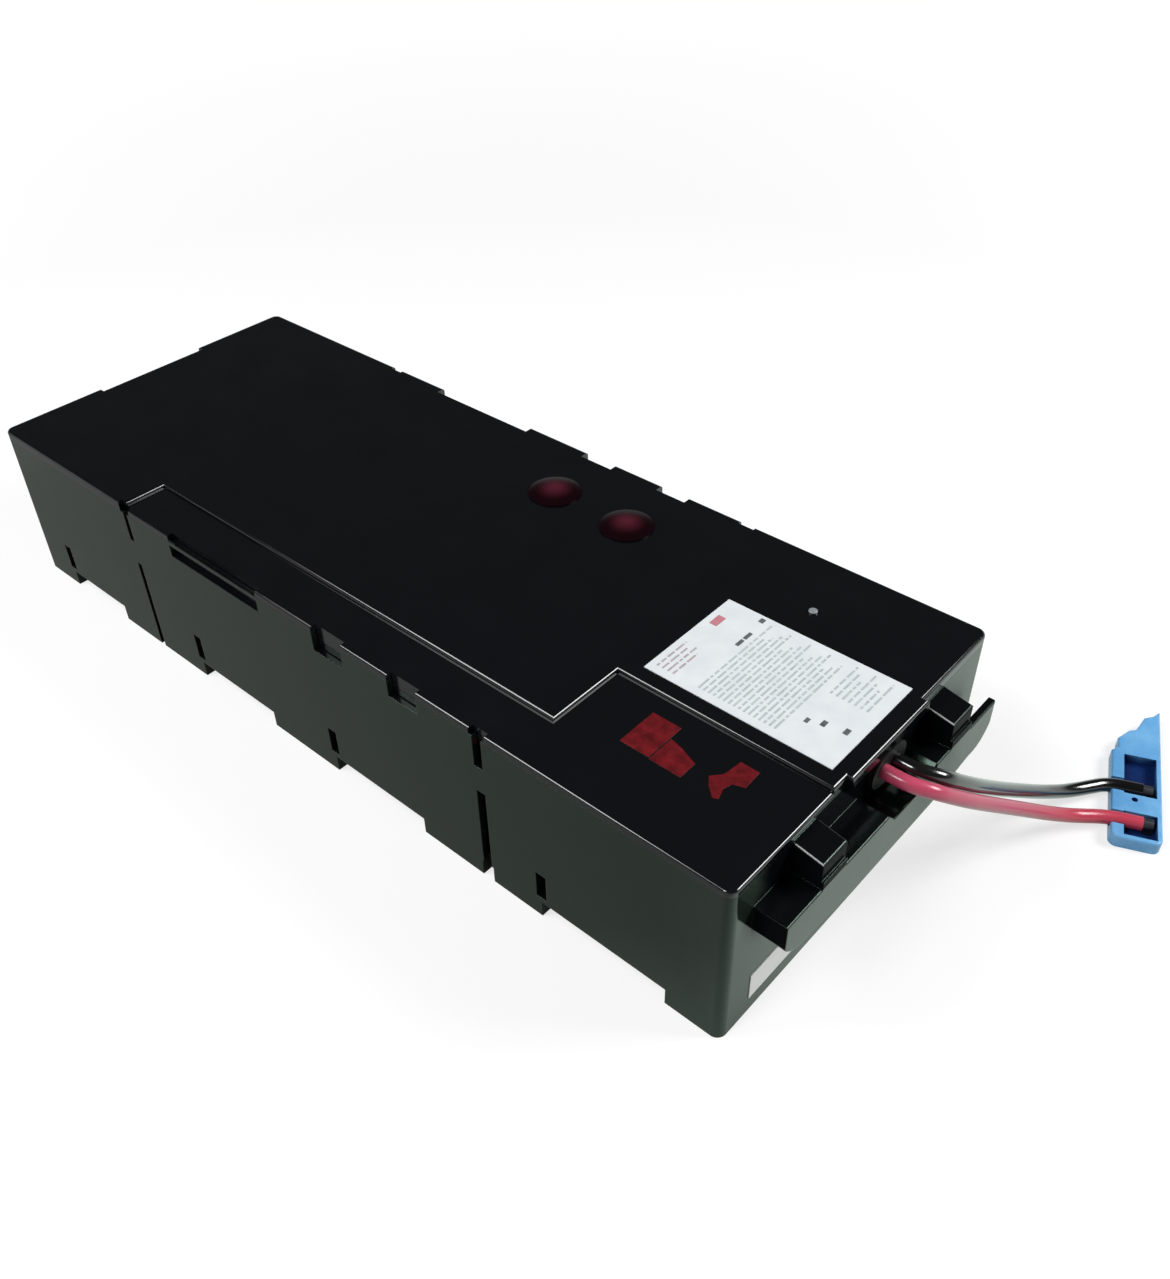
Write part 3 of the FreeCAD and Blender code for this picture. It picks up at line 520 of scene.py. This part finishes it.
def ink(name, outlines, base_z, finish):
    """Flat outlines in metres, raised by a hair from the surface they are printed on."""
    mesh = bpy.data.meshes.new(name)
    build = bmesh.new()
    for outline in outlines:
        corners = [build.verts.new((x, y, base_z)) for x, y in outline]
        face = build.faces.new(corners)
        raised = bmesh.ops.extrude_face_region(build, geom=[face])
        tops = [item for item in raised["geom"] if isinstance(item, bmesh.types.BMVert)]
        bmesh.ops.translate(build, verts=tops, vec=(0, 0, INK_THICKNESS * MM))
    bmesh.ops.recalc_face_normals(build, faces=build.faces)
    build.to_mesh(mesh)
    build.free()
    mesh.materials.append(finish)
    piece = bpy.data.objects.new(name, mesh)
    scene.collection.objects.link(piece)
    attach(piece, "root")


def sticker_block(low, high, across0, across1, down0, down1):
    """A block on the top sticker, as shares of its width and length; it reads from its -X edge."""
    x0 = low.x + (high.x - low.x) * down0
    x1 = low.x + (high.x - low.x) * down1
    y0 = low.y + (high.y - low.y) * across0
    y1 = low.y + (high.y - low.y) * across1
    return [(x0, y0), (x1, y0), (x1, y1), (x0, y1)]


def words(across, reach, down, first):
    """One line of print in bars as long as words; another first number breaks it elsewhere."""
    line_height = 0.011
    shortest = 0.03
    step = 0.022
    space = 0.018
    bars = []
    number = first
    while across < reach:
        end = min(across + shortest + step * (number * 7 % 5), reach)
        bars.append((across, end, down, down + line_height))
        across = end + space
        number += 3
    return bars


def text_lines(count, top, pitch, left, reach, shorter, first):
    """Lines of print under each other; each ends before the reach by the next share in shorter."""
    bars = []
    for number in range(count):
        right = reach - shorter[number % len(shorter)]
        bars += words(left, right, top + number * pitch, first + number)
    return bars


def sticker_print():
    """Rows of grey print with a few darker words, and a faded red field where the sticker starts.
    Places are shares of the sticker, across its width and down its length."""
    low, high = (Vector(corner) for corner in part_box("top_label"))

    def blocks(rows):
        return [sticker_block(low, high, *row) for row in rows]

    heading = text_lines(count=4, top=0.035, pitch=0.03, left=0.07, reach=0.40,
                         shorter=(0, 0.05), first=0)
    body = text_lines(count=16, top=0.27, pitch=0.027, left=0.07, reach=0.94,
                      shorter=(0, 0.16, 0.32 / 3, 0.16 / 3), first=2)
    column = text_lines(count=7, top=0.735, pitch=0.031, left=0.60, reach=0.95,
                        shorter=(0, 0.06, 0.12), first=5)
    dark_words = [
        (0.60, 0.68, 0.222, 0.242), (0.695, 0.78, 0.222, 0.242), (0.92, 0.97, 0.205, 0.232),
        (0.25, 0.30, 0.748, 0.768), (0.29, 0.35, 0.813, 0.837), (0.32, 0.38, 0.915, 0.94),
    ]
    red_field = [(0.68, 0.80, 0.035, 0.078)]
    ink("sticker_heading_print", blocks(heading), high.z, rose_ink)
    ink("sticker_body_print", blocks(body + column), high.z, grey_ink)
    ink("sticker_dark_print", blocks(dark_words), high.z, dark_ink)
    ink("sticker_red_field", blocks(red_field), high.z, faded_red_ink)


def cover_print():
    """Red block, bar and stepped mark printed in the lowered bay of the cover."""
    bay_top_mm = 80.0
    block = [(143.0, -53.5), (156.0, -53.5), (156.0, -34.5), (143.0, -34.5)]
    bar = [(156.5, -54.0), (170.5, -54.0), (170.5, -45.5), (162.5, -42.5), (156.5, -41.0)]
    mark = [(181.0, -43.0), (177.5, -47.0), (180.0, -50.5), (184.5, -54.5), (186.5, -53.5),
            (185.0, -49.0), (186.0, -45.0), (190.5, -43.5), (190.0, -34.5), (182.0, -34.5)]
    outlines = [[(x * MM, y * MM) for x, y in outline] for outline in (block, bar, mark)]
    ink("cover_red_print", outlines, bay_top_mm * MM, red_ink)


def domed_pip():
    """Low dome on the cover's pip, pale grey as a painted highlight."""
    middle = Vector((156.0, 50.0, 82.4)) * MM
    radius = 1.9 * MM
    height = 0.9 * MM
    mesh = bpy.data.meshes.new("domed_pip")
    build = bmesh.new()
    bmesh.ops.create_uvsphere(build, u_segments=32, v_segments=16, radius=1.0)
    bmesh.ops.bisect_plane(build, geom=build.verts[:] + build.edges[:] + build.faces[:],
                           plane_co=(0, 0, 0), plane_no=(0, 0, 1), clear_inner=True)
    for face in build.faces:
        face.smooth = True
    bmesh.ops.scale(build, verts=build.verts, vec=(radius, radius, height))
    bmesh.ops.translate(build, verts=build.verts, vec=middle)
    build.to_mesh(mesh)
    build.free()
    mesh.materials.append(pip_painted_highlight)
    dome = bpy.data.objects.new("domed_pip", mesh)
    scene.collection.objects.link(dome)
    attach(dome, "root")


sticker_print()
cover_print()
domed_pip()


# Studio, in metres

def pale_floor():
    """Plain pale floor that shows white to the camera and keeps the shadow. In reflections its own
    light fades towards the near left, the dimmer half of the room."""
    side = 6.0
    slant = 0.5
    dim_before = -0.02
    bright_past = 0.08
    dim_share = 0.03
    bright_share = 0.82
    near_reach = 0.6
    far_reach = 1.6
    near_light = 0.7
    far_light = 0.97
    material, tree = new_material("pale_floor")
    place = add(tree, "ShaderNodeNewGeometry").outputs["Position"]
    along = add(tree, "ShaderNodeSeparateXYZ", {"Vector": place}).outputs
    diagonal = add(tree, "ShaderNodeMath", {0: along["X"], 1: slant, 2: along["Y"]},
                   operation="MULTIPLY_ADD").outputs[0]
    bright_half = add(tree, "ShaderNodeMapRange", {
        "Value": diagonal, "From Min": dim_before, "From Max": bright_past,
        "To Min": dim_share, "To Max": bright_share}).outputs["Result"]
    distance = add(tree, "ShaderNodeVectorMath", {0: place}, operation="LENGTH").outputs["Value"]
    own_light = add(tree, "ShaderNodeMapRange", {
        "Value": distance, "From Min": near_reach, "From Max": far_reach,
        "To Min": near_light, "To Max": far_light}).outputs["Result"]
    path = add(tree, "ShaderNodeLightPath").outputs
    mirrored = add(tree, "ShaderNodeMath", {
        0: path["Is Glossy Ray"], 1: path["Is Transmission Ray"]}, operation="MAXIMUM").outputs[0]
    mirrored_light = add(tree, "ShaderNodeMath", {0: mirrored, 1: bright_half},
                         operation="MULTIPLY").outputs[0]
    seen = add(tree, "ShaderNodeMath", {0: path["Is Camera Ray"], 1: mirrored_light},
               operation="MAXIMUM").outputs[0]
    strength = add(tree, "ShaderNodeMath", {0: seen, 1: own_light},
                   operation="MULTIPLY").outputs[0]
    # The floor's own light is tinted faintly green in reflections only, a painted tint on what the
    # case mirrors; the camera sees it white
    tint = add(tree, "ShaderNodeMix", {
        "Factor": path["Is Camera Ray"], "A": linear("#ecfff4"), "B": linear("#ffffff")},
        data_type="RGBA").outputs["Result"]
    glow = add(tree, "ShaderNodeEmission", {"Color": tint, "Strength": strength})
    matt = add(tree, "ShaderNodeBsdfDiffuse", {"Color": linear("#a0a0a0")})
    both = add(tree, "ShaderNodeAddShader", {0: matt.outputs[0], 1: glow.outputs[0]})
    add(tree, "ShaderNodeOutputMaterial", {"Surface": both.outputs[0]})
    bpy.ops.mesh.primitive_plane_add(size=side, location=(0, 0, 0))
    floor = bpy.context.object
    floor.name = "floor"
    floor.data.materials.append(material)


def studio_world():
    """Room with a white horizon under a dark ceiling, which the cover mirrors. The camera sees it
    plain white."""
    horizon_top = 0.1
    ceiling_from = 0.28
    horizon_light = 0.8
    ceiling_light = 0.04
    world = bpy.data.worlds.new("studio")
    scene.world = world
    world.use_nodes = True
    tree = world.node_tree
    tree.nodes.clear()
    direction = add(tree, "ShaderNodeTexCoord").outputs["Generated"]
    height = add(tree, "ShaderNodeSeparateXYZ", {"Vector": direction}).outputs["Z"]
    shade = add(tree, "ShaderNodeMapRange", {
        "Value": height, "From Min": horizon_top, "From Max": ceiling_from,
        "To Min": horizon_light, "To Max": ceiling_light}).outputs["Result"]
    path = add(tree, "ShaderNodeLightPath").outputs
    strength = add(tree, "ShaderNodeMath", {0: path["Is Camera Ray"], 1: shade},
                   operation="MAXIMUM").outputs[0]
    sky = add(tree, "ShaderNodeBackground", {"Color": linear("#ffffff"), "Strength": strength})
    add(tree, "ShaderNodeOutputWorld", {"Surface": sky.outputs[0]})


def softbox(name, place, size, power):
    """Soft rectangular lamp that faces the origin."""
    light = bpy.data.lights.new(name, "AREA")
    light.shape = "RECTANGLE"
    light.size, light.size_y = size
    light.energy = power
    lamp = bpy.data.objects.new(name, light)
    lamp.location = place
    lamp.rotation_euler = (-Vector(place)).to_track_quat("-Z", "Y").to_euler()
    scene.collection.objects.link(lamp)


def photo_camera():
    """Camera at the photograph's viewing angle."""
    eye = Vector((345.8, -296.0, 389.0)) * MM
    azimuth = math.radians(132.0)
    elevation = math.radians(-39.69)
    roll = math.radians(-1.17)
    forward = Vector((math.cos(elevation) * math.cos(azimuth),
                      math.cos(elevation) * math.sin(azimuth), math.sin(elevation)))
    data = bpy.data.cameras.new("photo_camera")
    data.sensor_fit = "VERTICAL"
    data.sensor_height = 36.0
    data.lens = 34.96
    data.clip_start = 0.01
    camera = bpy.data.objects.new("photo_camera", data)
    camera.location = eye
    camera.rotation_mode = "QUATERNION"
    camera.rotation_quaternion = forward.to_track_quat("-Z", "Y") @ Quaternion((0, 0, 1), roll)
    scene.collection.objects.link(camera)
    scene.camera = camera


pale_floor()
studio_world()
softbox("key_softbox", place=(0.93, 0.73, 0.92), size=(0.6, 0.45), power=13.5)
softbox("left_softbox", place=(-0.66, -0.68, 1.15), size=(0.75, 0.5), power=11)
softbox("front_softbox", place=(0.0, -0.97, 1.15), size=(0.35, 0.35), power=7)
photo_camera()
